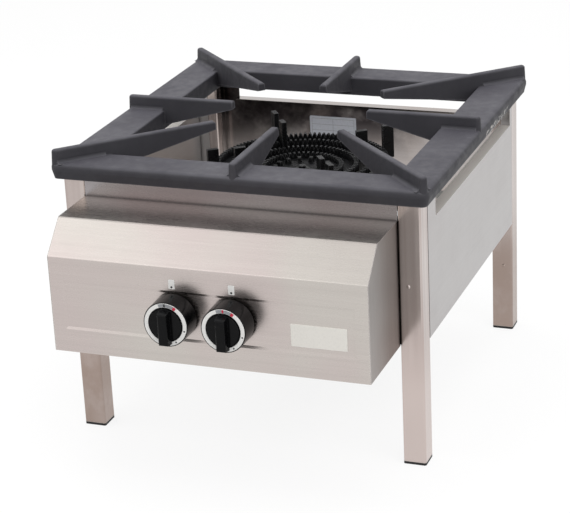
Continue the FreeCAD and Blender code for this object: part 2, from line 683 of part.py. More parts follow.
def jet(sign, label):
    body = new_body(label)
    hexagon = solid(body, "Prism", ("0", "jet_y", "0"), along_y, Circumradius="jet_radius + jet_flange",
                    Height="jet_length/2")
    hexagon.Polygon = 6
    solid(body, "Cone", ("0", "jet_y + jet_length/2", "0"), along_y, Radius1="jet_radius",
          Radius2="jet_radius/2", Height="jet_length/2")
    solid(body, "Cylinder", ("0", "jet_y - past", "0"), along_y, cut=True, Radius="jet_bore",
          Height="jet_length + 2*past")
    keep(body, label, (tap_x(sign), "0", "knob_level"))


def feed_pipe(sign, label):
    """The short pipe from a tap's back through the front panel to its jet."""
    body = new_body(label)
    run = "(jet_y - tap_back)"
    solid(body, "Cylinder", ("0", "tap_back", "0"), along_y, Radius="feed_radius", Height=run)
    nuts = ("tap_back", "front_face + sheet", "jet_y - nut_length/2")
    for start, length in zip(nuts, ("nut_length", "nut_length/2", "nut_length/2")):
        nut = solid(body, "Prism", ("0", start, "0"), along_y, Circumradius="nut_radius", Height=length)
        nut.Polygon = 6
    solid(body, "Cylinder", ("0", "tap_back - past", "0"), along_y, cut=True, Radius="feed_bore",
          Height=f"{run} + 2*past")
    keep(body, label, (tap_x(sign), "0", "knob_level"))


def tap_body(sign, label):
    """A gas tap's casting: a barrel for the plug and a saddle clamped round the gas rail."""
    body = new_body(label)
    solid(body, "Cylinder", ("0", "tap_face", "0"), along_y, Radius="tap_side/2", Height="tap_length")
    saddle = "(rail_radius + saddle_wall)"
    solid(body, "Box", (f"-{saddle}", f"rail_y - {saddle}", f"-rail_sink - {saddle}"),
          Length=f"2*{saddle}", Width=f"2*{saddle}", Height=f"rail_sink + {saddle}")
    solid(body, "Cylinder", (f"-{saddle} - past", "rail_y", "-rail_sink"), along_x, cut=True,
          Radius="rail_radius", Height=f"2*{saddle} + 2*past")
    solid(body, "Cone", ("0", "tap_face", "0"), along_y, cut=True, Radius1="plug_radius + running_gap",
          Radius2="plug_radius - plug_taper + running_gap", Height="plug_length + 2*seat_gap")
    solid(body, "Cylinder", ("0", "tap_face", "0"), along_y, cut=True, Radius="feed_bore",
          Height="tap_length + past")
    solid(body, "Cylinder", ("0", "tap_face + plug_length/2", "-rail_sink"), cut=True,
          Radius="feed_bore", Height="rail_sink")
    keep(body, label, (tap_x(sign), "0", "knob_level"))


def tap_cover(sign, label):
    body = new_body(label)
    solid(body, "Cylinder", ("0", "tap_face - plug_cover", "0"), along_y, Radius="tap_side/2",
          Height="plug_cover")
    solid(body, "Cylinder", ("0", "tap_face - plug_cover - past", "0"), along_y, cut=True,
          Radius="stem_radius + seat_gap", Height="plug_cover + 2*past")
    keep(body, label, (tap_x(sign), "0", "knob_level"))


def tap_plug(sign, label):
    """The tapered plug that turns in the tap, cross-drilled, with a socket for the stem."""
    body = new_body(label)
    start = "(tap_face + seat_gap)"
    solid(body, "Cone", ("0", start, "0"), along_y, Radius1="plug_radius", Radius2="plug_radius - plug_taper",
          Height="plug_length")
    solid(body, "Cylinder", ("0", f"{start} - past", "0"), along_y, cut=True,
          Radius="stem_radius + running_gap", Height="socket_depth + past")
    solid(body, "Cylinder", ("0", f"{start} + socket_depth - past", "0"), along_y, cut=True,
          Radius="feed_bore/2", Height="plug_length")
    keep(body, label, (tap_x(sign), "0", "knob_level"))


def tap_stem(sign, label):
    body = new_body(label)
    end = "(tap_face + seat_gap + socket_depth - push_travel - 2*seat_gap)"
    solid(body, "Cylinder", ("0", "knob_back - stem_grip", "0"), along_y, Radius="stem_radius",
          Height=f"{end} - knob_back + stem_grip")
    keep(body, label, (tap_x(sign), "0", "knob_level"))


def knob(sign, label):
    """A hollow moulded knob: drafted skirt, centre boss, low hub and a raised bar grip."""
    body = new_body(label)
    back, front = "knob_back", "dial_face"
    wall, plate = "knob_wall", "knob_plate"
    blind = "(knob_back - stem_grip - seat_gap)"
    revolved(body, [(back, "knob_radius + skirt_draft"), (front, "knob_radius"), (front, "0"), (blind, "0"),
                    (blind, "stem_radius + running_gap"), (back, "stem_radius + running_gap"),
                    (back, "boss_radius"), (f"{front} + {plate}", "boss_radius"),
                    (f"{front} + {plate}", f"knob_radius - {wall}"),
                    (back, f"knob_radius + skirt_draft - {wall}")], "Y_Axis", "YZ_Plane")
    solid(body, "Cone", ("0", front, "0"), turned((1, 0, 0), 90), Radius1="hub_radius",
          Radius2="hub_radius - skirt_draft", Height="hub_height")
    feature = body.newObject("PartDesign::AdditiveWedge", f"{label}_grip")
    bind(feature, Ymin=f"{front} - grip_height", Ymax=front, Xmin="-grip_width/2", Xmax="grip_width/2",
         Zmin="-grip_down", Zmax="grip_up - grip_slope", X2min="-grip_width/2 - grip_flare",
         X2max="grip_width/2 + grip_flare", Z2min="-grip_down - grip_flare", Z2max="grip_up + grip_slope")
    body.Tip = feature
    rounded(body, "grip_round", front_edge)
    keep(body, label, (tap_x(sign), "0", "knob_level"))


def dial_ring(sign, label):
    body = new_body(label)
    face = "(dial_face - dial_thick)"
    revolved(body, [("dial_face", "dial_radius - dial_width"), ("dial_face", "dial_radius"),
                    (face, "dial_radius"), (face, "dial_radius - dial_width")], "Y_Axis", "YZ_Plane")
    notch = "(grip_width + 2*grip_flare + 2*seat_gap)"
    solid(body, "Box", (f"-{notch}/2", f"{face} - past", "-grip_down - grip_flare - seat_gap"), cut=True,
          Length=notch, Width="dial_thick + 2*past", Height="grip_down")
    keep(body, label, (tap_x(sign), "0", "knob_level"))


def tube(body, at, turn, length, radius="rail_radius", bore="rail_bore"):
    solid(body, "Cylinder", at, turn, Radius=radius, Height=length)
    solid(body, "Cylinder", at, turn, cut=True, Radius=bore, Height=length)


def gas_line():
    """Inlet at the back left, a pipe forward, an elbow and the rail under both taps."""
    bend_radius = "2*rail_radius"
    rail = new_body("gas_rail")
    rail_start = f"(pipe_x + {bend_radius})"
    rail_stop = f"({tap_x('+')} + rail_end)"
    tube(rail, (rail_start, "rail_y", "rail_z"), along_x, f"{rail_stop} - {rail_start}")
    keep(rail, "gas_rail")
    plug = new_body("gas_rail_plug")
    head = solid(plug, "Prism", (rail_stop, "rail_y", "rail_z"), along_x,
                 Circumradius="rail_radius + saddle_wall", Height="nut_length")
    head.Polygon = 6
    keep(plug, "gas_rail_plug")
    elbow = new_body("gas_elbow")
    for radius, cut in (("rail_radius", False), ("rail_bore", True)):
        solid(elbow, "Torus", (rail_start, f"rail_y + {bend_radius}", "rail_z"), turned((0, 0, 1), 180),
              cut=cut, Radius1=bend_radius, Radius2=radius, Angle3="90")
    keep(elbow, "gas_elbow")
    pipe = new_body("gas_pipe")
    pipe_start = f"(rail_y + {bend_radius})"
    pipe_stop = "(frame_side/2 - sheet - collar_length)"
    tube(pipe, ("pipe_x", pipe_start, "rail_z"), along_y, f"{pipe_stop} - {pipe_start}")
    keep(pipe, "gas_pipe")
    inlet = new_body("gas_inlet")
    neck = "(frame_side/2 + seat_gap)"
    solid(inlet, "Cylinder", ("pipe_x", pipe_stop, "rail_z"), along_y, Radius="collar_radius",
          Height="collar_length")
    solid(inlet, "Cylinder", ("pipe_x", pipe_stop, "rail_z"), along_y, Radius="inlet_radius - seat_gap",
          Height=f"{neck} - {pipe_stop}")
    solid(inlet, "Cylinder", ("pipe_x", neck, "rail_z"), along_y, Radius="inlet_radius",
          Height="inlet_length")
    solid(inlet, "Cylinder", ("pipe_x", f"{pipe_stop} - past", "rail_z"), along_y, cut=True,
          Radius="rail_bore", Height=f"{neck} - {pipe_stop} + inlet_length + 2*past")
    keep(inlet, "gas_inlet")


def pilot_set():
    """A bracket on the front bearer that holds the pilot and the flame probe by the outer ring."""
    x, y = "(-crown_radius - pilot_stand)", "(-bearer_spread)"
    bracket = new_body("pilot_bracket")
    side = "pilot_seat"
    solid(bracket, "Box", (f"{x} - {side}", f"{y} - {side}/2", "bearer_level"), Length=f"1.5*{side}",
          Width=side, Height="2*sheet")
    solid(bracket, "Box", (f"{x} - {side}", f"{y} - {side}/2", "bearer_level"), Length="2*sheet",
          Width=side, Height="pilot_height")
    solid(bracket, "Box", (f"{x} - {side}", f"{y} - {side}/2", "bearer_level + pilot_height - 2*sheet"),
          Length=f"1.5*{side}", Width=side, Height="2*sheet")
    for shift, radius in (("pilot_radius", "pilot_radius"), ("-pilot_radius", "probe_radius")):
        solid(bracket, "Cylinder", (x, f"{y} + {shift}", "bearer_level + pilot_height - 3*sheet"), cut=True,
              Radius=radius, Height="4*sheet")
    keep(bracket, "pilot_bracket")
    for label, shift, radius in (("pilot_burner", "pilot_radius", "pilot_radius"),
                                 ("flame_probe", "-pilot_radius", "probe_radius")):
        body = new_body(label)
        solid(body, "Cylinder", (x, f"{y} + {shift}", "bearer_level + pilot_height/2"), Radius=radius,
              Height="pilot_height/2 + 2*pilot_radius")
        keep(body, label)


leg_frame()
side_panel(-1, "side_panel_left")
side_panel(1, "side_panel_right")
cross_panel("rear_panel")
front_panel("front_panel")
front_rail("front_rail")
control_box("control_box_cover")
box_cheek(-1, "control_box_cheek_left")
box_cheek(1, "control_box_cheek_right")
box_floor("control_box_floor")
pot_grate("pot_grate")
bearer("-", "burner_bearer_front")
bearer("", "burner_bearer_rear")
burner_body("burner_body")
outer_head("burner_outer_head")
inner_head("burner_inner_head")
gas_line()
pilot_set()
for side, sign, end_y in (("left", "-", outer_inlet_y()), ("right", "+", "0")):
    mixing_tube(sign, end_y, f"mixing_tube_{side}")
    air_shutter(sign, f"air_shutter_{side}")
    jet(sign, f"jet_{side}")
    feed_pipe(sign, f"feed_pipe_{side}")
    tap_body(sign, f"tap_body_{side}")
    tap_cover(sign, f"tap_cover_{side}")
    tap_plug(sign, f"tap_plug_{side}")
    tap_stem(sign, f"tap_stem_{side}")
    knob(sign, f"knob_{side}")
    dial_ring(sign, f"dial_ring_{side}")

doc.recompute()
failed = [item.Name for item in doc.Objects if {"Invalid", "Error"} & set(item.State)]
failed += [piece.Label for piece in pieces if piece.Shape.isNull() or not piece.Shape.isValid()]
if failed:
    raise RuntimeError(f"these did not build: {failed}")
os.makedirs("parts", exist_ok=True)
for piece in pieces:
    piece.Shape.exportStep(f"parts/{piece.Label}.step")
print(len(pieces), "pieces written")
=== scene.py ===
import math

import bmesh
import bpy
from mathutils import Matrix, Vector
from mathutils.bvhtree import BVHTree


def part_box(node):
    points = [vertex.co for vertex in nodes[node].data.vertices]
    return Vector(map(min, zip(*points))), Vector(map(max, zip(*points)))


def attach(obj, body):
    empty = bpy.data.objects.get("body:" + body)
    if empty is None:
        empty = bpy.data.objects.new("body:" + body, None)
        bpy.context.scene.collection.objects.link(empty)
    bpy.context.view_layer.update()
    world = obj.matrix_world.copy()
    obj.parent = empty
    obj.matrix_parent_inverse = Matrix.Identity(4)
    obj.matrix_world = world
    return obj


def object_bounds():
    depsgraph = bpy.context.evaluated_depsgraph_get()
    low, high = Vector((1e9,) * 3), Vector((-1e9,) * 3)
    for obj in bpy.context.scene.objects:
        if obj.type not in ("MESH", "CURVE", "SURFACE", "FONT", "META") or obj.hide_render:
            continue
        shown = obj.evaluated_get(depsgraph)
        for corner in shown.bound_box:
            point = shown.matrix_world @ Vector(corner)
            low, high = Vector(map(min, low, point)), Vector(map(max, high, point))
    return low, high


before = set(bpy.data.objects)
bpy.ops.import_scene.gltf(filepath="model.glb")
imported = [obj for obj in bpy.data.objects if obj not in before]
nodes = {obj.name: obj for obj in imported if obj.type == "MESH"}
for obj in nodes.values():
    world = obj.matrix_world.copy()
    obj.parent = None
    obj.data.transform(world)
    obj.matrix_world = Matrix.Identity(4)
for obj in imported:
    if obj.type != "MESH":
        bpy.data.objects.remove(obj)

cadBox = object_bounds()
sides = ("left", "right")
print("frame loaded,", len(nodes), "nodes")


def newFinish(name, color, metal, rough):
    material = bpy.data.materials.new(name)
    material.use_nodes = True
    tree = material.node_tree
    shader = tree.nodes["Principled BSDF"]
    shader.inputs["Base Color"].default_value = (*color, 1)
    shader.inputs["Metallic"].default_value = metal
    shader.inputs["Roughness"].default_value = rough
    return material, tree, shader


def put(tree, kind, **fields):
    node = tree.nodes.new(kind)
    for field, value in fields.items():
        setattr(node, field, value)
    return node


def setInputs(node, **values):
    for name, value in values.items():
        node.inputs[name].default_value = value
    return node


def objectPoint(tree, stretch=(1, 1, 1)):
    source = put(tree, "ShaderNodeTexCoord")
    mapping = put(tree, "ShaderNodeMapping")
    setInputs(mapping, Scale=stretch)
    tree.links.new(source.outputs["Object"], mapping.inputs["Vector"])
    return mapping.outputs["Vector"]


def cloud(tree, scale, detail=4, rough=0.5, stretch=(1, 1, 1)):
    noise = put(tree, "ShaderNodeTexNoise")
    setInputs(noise, Scale=scale, Detail=detail, Roughness=rough)
    tree.links.new(objectPoint(tree, stretch), noise.inputs["Vector"])
    return noise.outputs["Fac"]


def ranged(tree, value, low, high, toLow=0.0, toHigh=1.0):
    span = put(tree, "ShaderNodeMapRange", interpolation_type="SMOOTHSTEP")
    span.inputs["From Min"].default_value = low
    span.inputs["From Max"].default_value = high
    span.inputs["To Min"].default_value = toLow
    span.inputs["To Max"].default_value = toHigh
    tree.links.new(value, span.inputs["Value"])
    return span.outputs["Result"]


def arithmetic(tree, operation, first, second):
    node = put(tree, "ShaderNodeMath", operation=operation)
    for socket, value in zip(node.inputs, (first, second)):
        if isinstance(value, (int, float)):
            socket.default_value = value
        else:
            tree.links.new(value, socket)
    return node.outputs["Value"]


def both(tree, first, second):
    return arithmetic(tree, "MULTIPLY", first, second)


def mixColor(tree, factor, first, second):
    node = put(tree, "ShaderNodeMix", data_type="RGBA")
    sockets = (node.inputs["Factor"], node.inputs[6], node.inputs[7])  # 6 and 7 are the two colours
    for socket, value in zip(sockets, (factor, first, second)):
        if isinstance(value, (int, float)):
            socket.default_value = value
        elif isinstance(value, tuple):
            socket.default_value = (*value, 1)
        else:
            tree.links.new(value, socket)
    return node.outputs[2]


def place(tree, letter):
    # one coordinate of the point on the piece, in metres
    parts = put(tree, "ShaderNodeSeparateXYZ")
    tree.links.new(objectPoint(tree), parts.inputs["Vector"])
    return parts.outputs[letter]


def facing(tree, letter):
    # one part of the surface's own direction
    parts = put(tree, "ShaderNodeSeparateXYZ")
    tree.links.new(put(tree, "ShaderNodeNewGeometry").outputs["Normal"], parts.inputs["Vector"])
    return parts.outputs[letter]


def edgeMask(tree, radius, start=0.995, full=0.8):
    # how far the surface turns within the radius: 1 at a corner, 0 on a flat
    bevel = put(tree, "ShaderNodeBevel", samples=6)
    setInputs(bevel, Radius=radius)
    plain = put(tree, "ShaderNodeNewGeometry")
    dot = put(tree, "ShaderNodeVectorMath", operation="DOT_PRODUCT")
    tree.links.new(bevel.outputs["Normal"], dot.inputs[0])
    tree.links.new(plain.outputs["Normal"], dot.inputs[1])
    return ranged(tree, dot.outputs["Value"], full, start, 1.0, 0.0)


def paintedCornerShade(tree, reach, amount):
    # painted shade where two surfaces meet, darker the closer they come
    hollow = put(tree, "ShaderNodeAmbientOcclusion", samples=6)
    setInputs(hollow, Distance=reach)
    return ranged(tree, hollow.outputs["AO"], 0.3, 0.9, amount, 0.0)


def relief(tree, shader, height, strength, depth, onto=None):
    bump = put(tree, "ShaderNodeBump")
    setInputs(bump, Strength=strength, Distance=depth)
    tree.links.new(height, bump.inputs["Height"])
    if onto is not None:
        tree.links.new(onto, bump.inputs["Normal"])
    tree.links.new(bump.outputs["Normal"], shader.inputs["Normal"])
    return bump.outputs["Normal"]


def shaded(color, share):
    return tuple(min(1, channel * share) for channel in color)


# sheet and tube: fine brushing along one axis, soft streaks, faint warm patches that are a painted
# reflection, painted highlight on the edges, painted shade in the joints
alongAxis = {"x": (0.02, 1, 1), "y": (1, 0.02, 1), "z": (1, 1, 0.02)}
bandAxis = {"x": (0.008, 1, 1), "y": (1, 0.008, 1), "z": (1, 1, 0.008)}
steelLook = {
    "box": {"base": (0.545, 0.51, 0.475), "tint": (0.54, 0.475, 0.455), "axis": "x",
            "rough": 0.27, "band": 0.06, "edge": 1.06},
    # the cheek and the rail are darker copies of the box steel: painted shade
    "cheek": {"base": (0.36, 0.335, 0.32), "tint": (0.30, 0.27, 0.255), "axis": "z",
              "rough": 0.3, "band": 0.15, "edge": 2.2, "fade": 0.62},
    "rail": {"base": (0.34, 0.32, 0.325), "tint": (0.29, 0.26, 0.26), "axis": "x",
             "rough": 0.24, "band": 0.15, "edge": 1.6},
    "side": {"base": (0.47, 0.455, 0.45), "tint": (0.445, 0.42, 0.415), "axis": "y",
             "rough": 0.34, "band": 0.05, "edge": 1.3, "flange": (0.92, 0.86, 0.8), "flangeMetal": 0.08},
    "rear": {"base": (0.46, 0.43, 0.415), "tint": (0.38, 0.31, 0.28), "axis": "x",
             "rough": 0.14, "band": 0.1, "edge": 1.2},
    "leg": {"base": (0.545, 0.485, 0.46), "tint": (0.42, 0.345, 0.32), "axis": "z",
            "rough": 0.2, "band": 0.35, "edge": 1.25,
            "lowShadeColor": (0.345, 0.27, 0.235), "clear": (0.59, 0.505, 0.475)}}

# a noise is its scale, detail and roughness; a range is what goes in and what comes out
steelWear = {
    "grain": (1700, 2, 0.6), "streak": (260, 3, 0.5), "band": (110, 1, 0.4),
    "patch": (5, 2, 0.5), "smear": (18, 4, 0.6),
    "patchRange": (0.38, 0.66), "bandRange": (0.36, 0.64), "bandShade": 0.78,
    "darkStreak": (0.5, 0.8, 0, 0.2), "darkShade": 0.8, "paleStreak": (0.5, 0.2, 0, 0.2), "paleShade": 1.15,
    "edgeReach": 0.0012, "cornerShade": (0.009, 0.85), "cornerShadeTone": 0.12,
    "grainRough": (0.3, 0.7, -0.02, 0.03), "smearRough": (0.4, 0.7, 0, 0.03), "bump": (0.03, 0.0001)}
innerShadeLook = {"color": (0.032, 0.027, 0.028), "height": (0.25, 0.35), "across": (0.03, 0.17, 1.0, 0.1),
            "smear": (0.25, 0.6, 0.6, 1.0), "inward": (-0.2, -0.1, 1.0, 0.0)}
legLowShade = {"height": (0.1, 0.26, 1.0, 0.0), "right": (0, 0.1), "front": (0, 0.1, 1.0, 0.0),
           "smear": (0.3, 0.6, 0.7, 1.0)}
flangeFacing = (0.6, 0.9)
# the cheek painted darker towards the top: painted shade
cheekTopShade = {"height": (0.2, 0.33), "shade": 0.55}


def brushedSteel(name, look, shadedInside=False):
    base, tint, wear = look["base"], look["tint"], steelWear
    material, tree, shader = newFinish(name, base, 1.0, look["rough"])
    grain = cloud(tree, *wear["grain"], alongAxis[look["axis"]])
    streak = cloud(tree, *wear["streak"], alongAxis[look["axis"]])
    band = cloud(tree, *wear["band"], bandAxis[look["axis"]])
    smear = cloud(tree, *wear["smear"])
    # faint warm patches: a painted reflection of warm surroundings
    color = mixColor(tree, ranged(tree, cloud(tree, *wear["patch"]), *wear["patchRange"]), base, tint)
    # bands along the brushing; the strong ones on the legs are painted reflection stripes
    banded = ranged(tree, band, *wear["bandRange"], 0, look["band"])
    color = mixColor(tree, banded, color, shaded(tint, wear["bandShade"]))
    color = mixColor(tree, ranged(tree, streak, *wear["darkStreak"]), color, shaded(base, wear["darkShade"]))
    color = mixColor(tree, ranged(tree, streak, *wear["paleStreak"]), color, shaded(base, wear["paleShade"]))
    # painted shade high up on the inner faces
    if shadedInside:
        color = innerShade(tree, color, smear)
    # painted light: faces of the side panels that look up are lighter and less metallic
    if "flange" in look:
        level = ranged(tree, facing(tree, "Z"), *flangeFacing)
        color = mixColor(tree, level, color, look["flange"])
        tree.links.new(ranged(tree, level, 0, 1, 1.0, look["flangeMetal"]), shader.inputs["Metallic"])
    # painted shade and painted light low down on the legs
    if "lowShadeColor" in look:
        color = legLowShading(tree, color, smear, look)
    # painted shade: the cheek darker towards the top
    if "fade" in look:
        high = ranged(tree, place(tree, "Z"), *cheekTopShade["height"], 0.0, look["fade"])
        color = mixColor(tree, high, color, shaded(base, cheekTopShade["shade"]))
    # painted highlight: lighter along the edges and bends, by each look's edge share
    color = mixColor(tree, edgeMask(tree, wear["edgeReach"]), color, shaded(base, look["edge"]))
    # painted shade where two surfaces meet
    color = mixColor(tree, paintedCornerShade(tree, *wear["cornerShade"]), color, shaded(tint, wear["cornerShadeTone"]))
    tree.links.new(color, shader.inputs["Base Color"])
    worn = arithmetic(tree, "ADD", ranged(tree, grain, *wear["grainRough"]),
                      ranged(tree, smear, *wear["smearRough"]))
    tree.links.new(arithmetic(tree, "ADD", worn, look["rough"]), shader.inputs["Roughness"])
    relief(tree, shader, grain, *wear["bump"])
    return material


def innerShade(tree, color, smear):
    # painted shade: darkened high up on the faces that look towards the burner
    shadeHigh = ranged(tree, place(tree, "Z"), *innerShadeLook["height"])
    shadeHigh = both(tree, shadeHigh, ranged(tree, smear, *innerShadeLook["smear"]))
    shadeHigh = both(tree, shadeHigh, ranged(tree, place(tree, "X"), *innerShadeLook["across"]))
    return mixColor(tree, both(tree, shadeHigh, insideMask(tree)), color, innerShadeLook["color"])


def legLowShading(tree, color, smear, look):
    # painted shade low down on every leg but the front right one, which gets a lighter painted colour low
    # down instead
    low = ranged(tree, place(tree, "Z"), *legLowShade["height"])
    right = ranged(tree, place(tree, "X"), *legLowShade["right"])
    clear = both(tree, right, ranged(tree, place(tree, "Y"), *legLowShade["front"]))
    shadedLow = both(tree, low, arithmetic(tree, "SUBTRACT", 1.0, clear))
    color = mixColor(tree, both(tree, shadedLow, ranged(tree, smear, *legLowShade["smear"])), color, look["lowShadeColor"])
    return mixColor(tree, both(tree, low, clear), color, look["clear"])


def insideMask(tree):
    # 1 on faces that look towards the burner, 0 on outer faces
    low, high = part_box("burner_body")
    total = None
    for letter, middle in (("X", 0.0), ("Y", (low.y + high.y) / 2)):
        part = both(tree, facing(tree, letter), arithmetic(tree, "SUBTRACT", place(tree, letter), middle))
        total = part if total is None else arithmetic(tree, "ADD", total, part)
    return ranged(tree, total, *innerShadeLook["inward"])


# cast iron: sandy lumps, blotches, scuffs on the tops, rubbed edges that are partly a painted highlight,
# painted shade on the upright faces and where surfaces meet
castLook = {
    "grate": {"base": (0.08, 0.078, 0.09), "dark": (0.058, 0.056, 0.067), "worn": (0.17, 0.168, 0.182),
              "rough": 0.6, "gloss": 0.32, "edge": 0.004, "pit": 0.3},
    "burner": {"base": (0.007, 0.007, 0.008), "dark": (0.0035, 0.0035, 0.004), "worn": (0.15, 0.15, 0.155),
               "rough": 0.3, "gloss": 0.22, "edge": 0.0011, "pit": 0.7}}
castWear = {
    "lumps": (60, 4, 0.55), "sand": (900, 3, 0.6), "blotch": (12, 3, 0.5),
    "scuff": (34, 5, 0.7), "rub": (90, 4, 0.6),
    "blotchRange": (0.35, 0.68), "speckle": (0.62, 0.78, 0, 0.35), "scuffRange": (0.56, 0.72, 0, 0.28),
    "tops": (0.7, 0.95), "paintedSideShade": (0.4, 0.85, 0.72, 0.0), "paintedSideShadeTone": 0.45,
    "rubRange": (0.3, 0.62, 0.1, 0.7), "cornerShade": (0.012, 0.6), "cornerShadeTone": 0.5,
    "roughSpread": (-0.08, 0.1), "lumpRange": (0.3, 0.7), "lumpBump": (0.35, 0.0012), "sandDepth": 0.0006}
# bare metal where the paint has chipped off the right bar's lip
chips = {"color": (0.62, 0.6, 0.57), "low": 0.409, "high": 0.427, "fadeUp": 0.004,
         "side": 0.27, "fadeAcross": 0.02, "front": 0.08, "rear": 0.29, "fadeAlong": 0.05,
         "grain": (130, 3, 0.7), "grainRange": (0.52, 0.55)}


def castIron(name, look, chipped=False):
    base, dark, worn, rough = look["base"], look["dark"], look["worn"], look["rough"]
    material, tree, shader = newFinish(name, base, 0.0, rough)
    setInputs(shader, **{"Specular IOR Level": look["gloss"]})
    lumps = cloud(tree, *castWear["lumps"])
    sand = cloud(tree, *castWear["sand"])
    blotches = ranged(tree, cloud(tree, *castWear["blotch"]), *castWear["blotchRange"])
    color = mixColor(tree, blotches, base, dark)
    color = mixColor(tree, ranged(tree, sand, *castWear["speckle"]), color, worn)
    scuffed = ranged(tree, cloud(tree, *castWear["scuff"]), *castWear["scuffRange"])
    scuffed = both(tree, scuffed, ranged(tree, facing(tree, "Z"), *castWear["tops"]))
    color = mixColor(tree, scuffed, color, worn)
    # painted shade: upright faces darker than the tops
    paintedSideShade = ranged(tree, facing(tree, "Z"), *castWear["paintedSideShade"])
    color = mixColor(tree, paintedSideShade, color, shaded(dark, castWear["paintedSideShadeTone"]))
    # lighter edges: rubbed wear and a painted highlight, thin and strong on the burner
    rubbedEdgeSheen = ranged(tree, cloud(tree, *castWear["rub"]), *castWear["rubRange"])
    color = mixColor(tree, both(tree, edgeMask(tree, look["edge"]), rubbedEdgeSheen), color, worn)
    # painted shade where two surfaces meet
    color = mixColor(tree, paintedCornerShade(tree, *castWear["cornerShade"]), color, shaded(dark, castWear["cornerShadeTone"]))
    if chipped:
        color = mixColor(tree, chipMask(tree), color, chips["color"])
    tree.links.new(color, shader.inputs["Base Color"])
    spread = (rough + shift for shift in castWear["roughSpread"])
    tree.links.new(ranged(tree, lumps, *castWear["lumpRange"], *spread), shader.inputs["Roughness"])
    coarse = relief(tree, shader, lumps, *castWear["lumpBump"])
    relief(tree, shader, sand, look["pit"], castWear["sandDepth"], coarse)
    return material


def chipMask(tree):
    height, along = place(tree, "Z"), place(tree, "Y")
    lip = both(tree, ranged(tree, height, chips["low"], chips["low"] + chips["fadeUp"]),
               ranged(tree, height, chips["high"] - chips["fadeUp"], chips["high"], 1.0, 0.0))
    lip = both(tree, lip, ranged(tree, place(tree, "X"), chips["side"], chips["side"] + chips["fadeAcross"]))
    stretch = both(tree, ranged(tree, along, chips["front"], chips["front"] + chips["fadeAlong"]),
                   ranged(tree, along, chips["rear"] - chips["fadeAlong"], chips["rear"], 1.0, 0.0))
    grainy = both(tree, cloud(tree, *chips["grain"]), stretch)
    return both(tree, lip, ranged(tree, grainy, *chips["grainRange"]))


# plastic: a film of dust, lighter edges that are a painted highlight as well as rubbed wear, and a fine skin
plasticLook = {
    "foot": {"color": (0.014, 0.014, 0.014), "rough": 0.5, "coat": 0.0, "gloss": 0.3,
             "edge": (0.06, 0.06, 0.06)},
    "knob": {"color": (0.003, 0.003, 0.0035), "rough": 0.14, "coat": 0.03, "gloss": 0.1,
             "edge": (0.035, 0.035, 0.037)}}
plasticWear = {"dust": (160, 4, 0.6), "dustRange": (0.5, 0.8, 0, 0.25), "dustPale": 0.012,
               "edgeReach": 0.0007, "edgeRange": (0.35, 0.6, 0.3, 0.9),
               "roughRange": (0.3, 0.7), "roughSpread": (-0.03, 0.06),
               "coatRough": 0.08, "skin": (1400, 2, 0.5), "bump": (0.06, 0.0002)}


def moulded(name, look):
    color, rough, wear = look["color"], look["rough"], plasticWear
    material, tree, shader = newFinish(name, color, 0.0, rough)
    dust = cloud(tree, *wear["dust"])
    pale = tuple(channel + wear["dustPale"] for channel in color)
    shade = mixColor(tree, ranged(tree, dust, *wear["dustRange"]), color, pale)
    # painted highlight: lighter edges, thinned by the dust noise
    rubbedEdgeSheen = both(tree, edgeMask(tree, wear["edgeReach"]), ranged(tree, dust, *wear["edgeRange"]))
    tree.links.new(mixColor(tree, rubbedEdgeSheen, shade, look["edge"]), shader.inputs["Base Color"])
    spread = (rough + shift for shift in wear["roughSpread"])
    tree.links.new(ranged(tree, dust, *wear["roughRange"], *spread), shader.inputs["Roughness"])
    setInputs(shader, **{"Coat Weight": look["coat"], "Coat Roughness": wear["coatRough"],
                         "Specular IOR Level": look["gloss"]})
    relief(tree, shader, cloud(tree, *wear["skin"]), *wear["bump"])
    return material


# brass, aluminium and zinc: turning lines, stains, brighter edges
metalLook = {
    "brass": {"base": (0.68, 0.49, 0.22), "dark": (0.42, 0.3, 0.14), "rough": 0.3, "lineScale": 500},
    "castAluminium": {"base": (0.56, 0.56, 0.56), "dark": (0.4, 0.4, 0.4), "rough": 0.48, "lineScale": 220},
    "zincSteel": {"base": (0.44, 0.44, 0.42), "dark": (0.3, 0.295, 0.27), "rough": 0.36, "lineScale": 500}}
metalWear = {"lines": (3, 0.55, (1, 0.15, 1)), "stain": (35, 4, 0.6), "stainRange": (0.4, 0.75),
             "edgeReach": 0.0012, "edgeShade": 1.25, "cornerShade": (0.006, 0.7), "cornerShadeTone": 0.25,
             "roughRange": (0.3, 0.75), "roughSpread": (-0.06, 0.16), "bump": (0.12, 0.0003)}


def turnedMetal(name):
    look, wear = metalLook[name], metalWear
    base, dark, rough = look["base"], look["dark"], look["rough"]
    material, tree, shader = newFinish(name, base, 1.0, rough)
    lines = cloud(tree, look["lineScale"], *wear["lines"])
    stain = cloud(tree, *wear["stain"])
    color = mixColor(tree, ranged(tree, stain, *wear["stainRange"]), base, dark)
    color = mixColor(tree, edgeMask(tree, wear["edgeReach"]), color, shaded(base, wear["edgeShade"]))
    # painted shade where two surfaces meet
    color = mixColor(tree, paintedCornerShade(tree, *wear["cornerShade"]), color, shaded(dark, wear["cornerShadeTone"]))
    tree.links.new(color, shader.inputs["Base Color"])
    spread = (rough + shift for shift in wear["roughSpread"])
    tree.links.new(ranged(tree, stain, *wear["roughRange"], *spread), shader.inputs["Roughness"])
    relief(tree, shader, lines, *wear["bump"])
    return material


# printed marks and plates: a thin uneven film
printWear = {"film": (220, 3, 0.5), "filmRange": (0.45, 0.75, 0, 0.5), "filmShade": 0.9,
             "roughRange": (0.3, 0.7), "roughSpread": (-0.05, 0.1), "bump": (0.04, 0.0001)}


